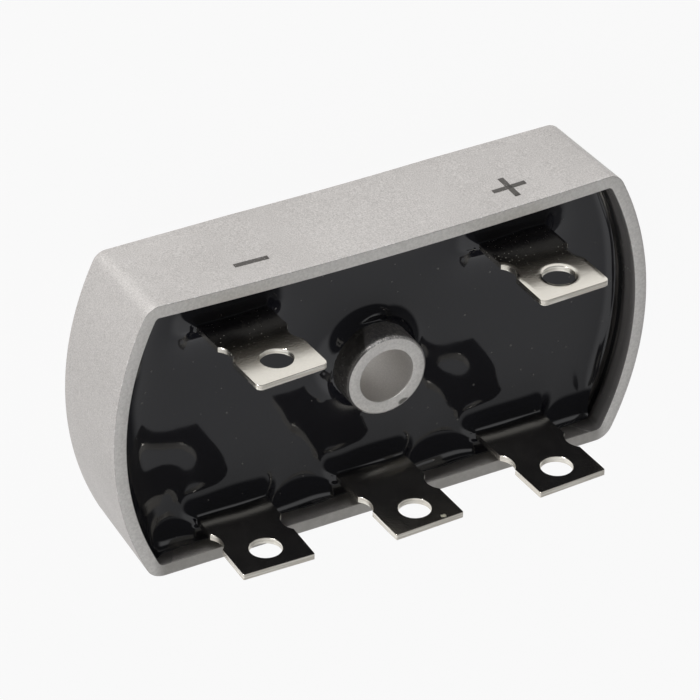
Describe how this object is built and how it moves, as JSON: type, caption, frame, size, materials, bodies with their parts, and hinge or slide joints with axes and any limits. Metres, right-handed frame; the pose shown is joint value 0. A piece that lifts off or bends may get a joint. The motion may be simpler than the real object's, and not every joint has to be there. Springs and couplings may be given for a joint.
{
  "type": "bridge rectifier",
  "caption": "Three-phase bridge rectifier: cast aluminium shell with round ends, centre screw boss, black epoxy fill and flat terminals with eyes.",
  "frame": {"origin": "on the mounting face, on the axis of the screw hole", "axes": "+X along the case towards the positive terminal's end, +Y towards the long wall beside the two direct current terminals, +Z from the mounting face towards the terminals"},
  "size_m": [0.06, 0.032, 0.0212],
  "materials": {
    "cast_aluminium": "blasted die casting, matt",
    "nickel_plate": "bright nickel plate over copper strip",
    "epoxy": "glossy black potting epoxy",
    "silicone": "soft clear silicone",
    "copper": null,
    "ceramic": "white alumina sheet",
    "diode_chip": "passivated silicon chip with solder"
  },
  "bodies": {
    "root": {"case": "cast_aluminium", "ceramic_sheet": "ceramic", "phase_plate_1": "copper", "phase_plate_2": "copper", "phase_plate_3": "copper", "diode_low_1": "diode_chip", "diode_low_2": "diode_chip", "diode_low_3": "diode_chip", "diode_high_1": "diode_chip", "diode_high_2": "diode_chip", "diode_high_3": "diode_chip", "negative_bus": "copper", "positive_bus": "copper", "terminal_negative": "nickel_plate", "terminal_positive": "nickel_plate", "terminal_phase_1": "nickel_plate", "terminal_phase_2": "nickel_plate", "terminal_phase_3": "nickel_plate", "silicone_fill": "silicone", "epoxy_fill": "epoxy"}
  },
  "joints": []
}
